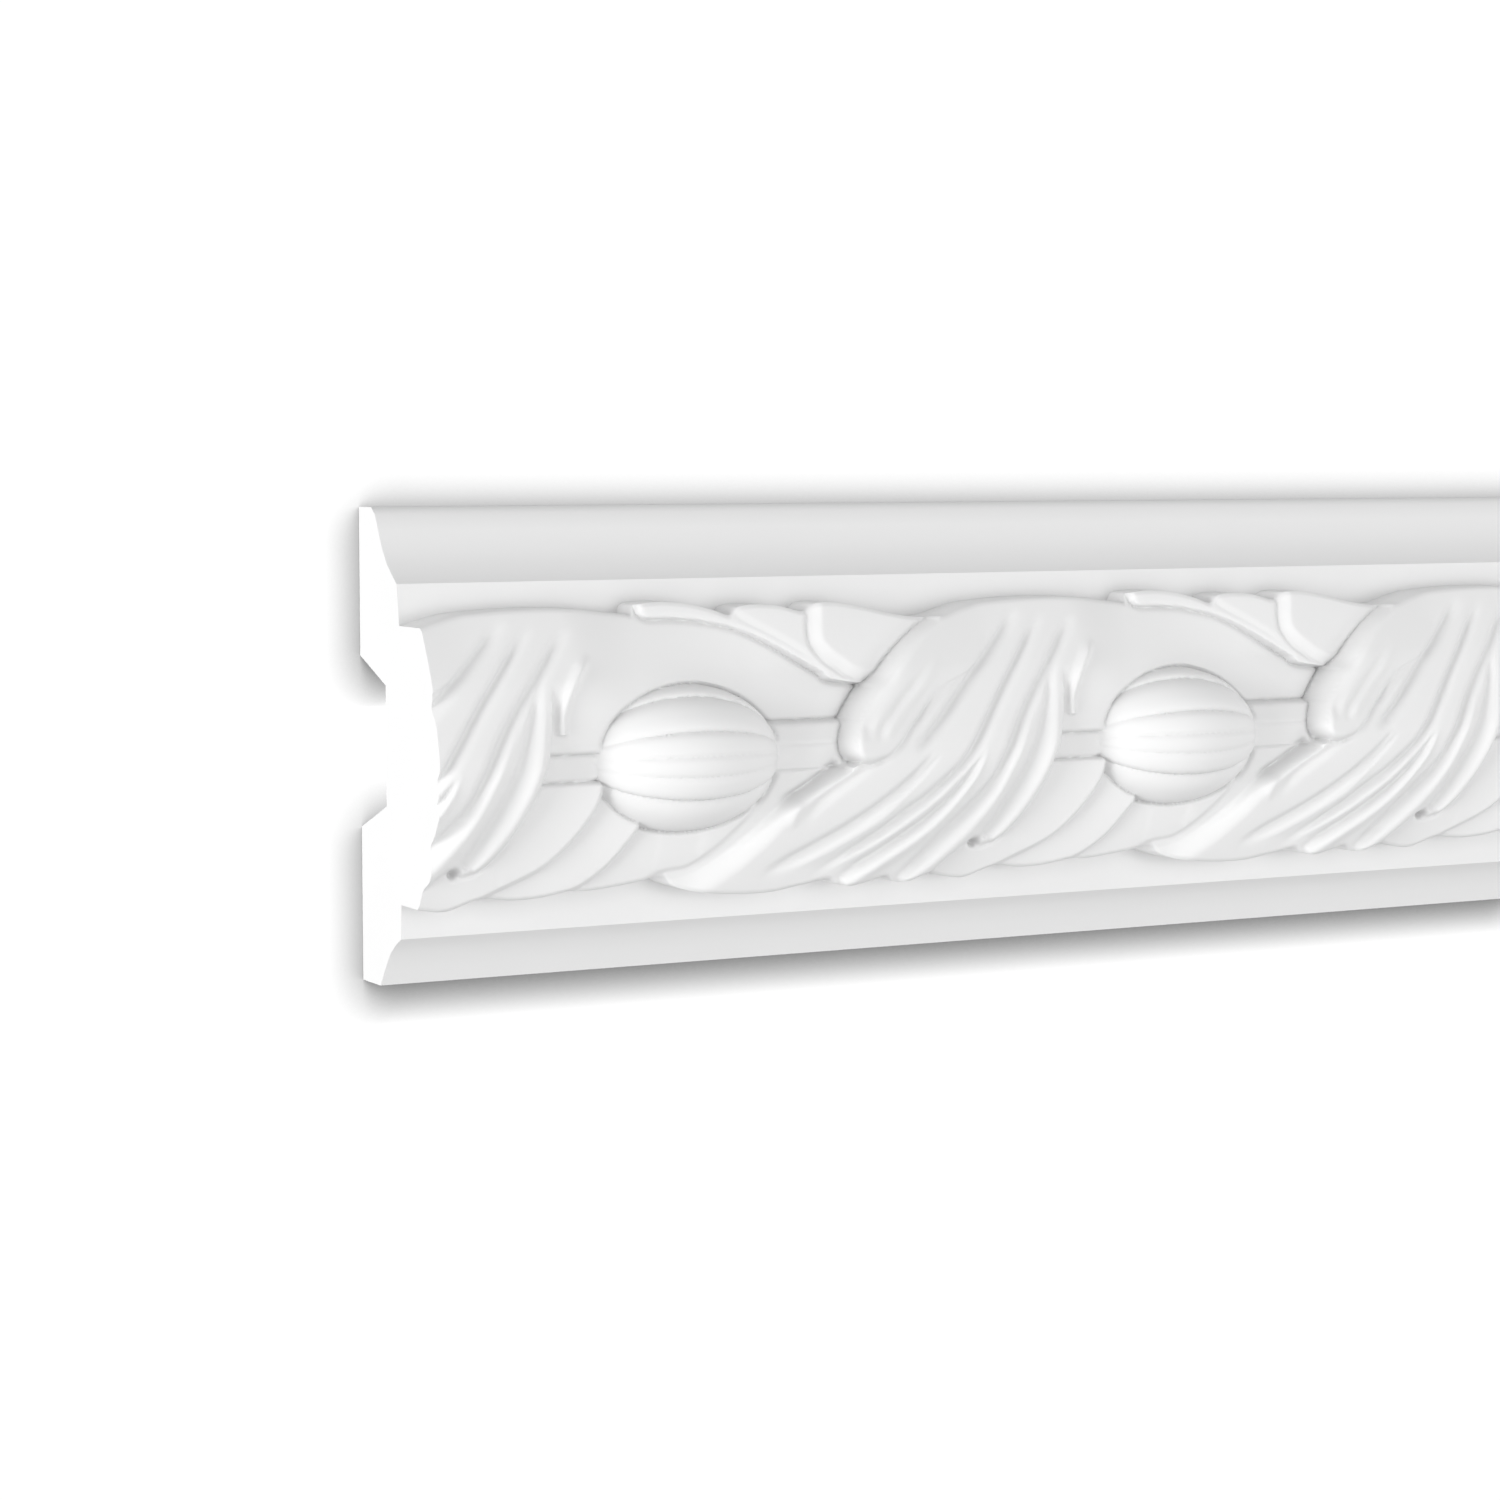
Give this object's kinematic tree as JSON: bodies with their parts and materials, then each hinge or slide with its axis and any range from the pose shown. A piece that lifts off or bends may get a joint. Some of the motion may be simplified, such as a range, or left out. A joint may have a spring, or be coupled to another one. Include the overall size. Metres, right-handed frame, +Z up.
{
  "type": "flexible dado rail",
  "caption": "Moulded wall rail with a belt of wrapped acanthus leaves and ribbed beads between two flat bands, hollow mouldings above and below, and a glue recess along the back.",
  "frame": {"origin": "middle of the length, on the flat back of the upper lip, halfway up the lip, where the rail is glued to its wall", "axes": "+X along the rail, +Y into the wall, +Z up; the carving faces -Y"},
  "size_m": [0.3116, 0.0469, 0.1],
  "materials": {
    "primed_polyurethane": "smooth white primer, matt, ready to paint"
  },
  "bodies": {
    "root": {"dado_rail": "primed_polyurethane"}
  },
  "joints": []
}
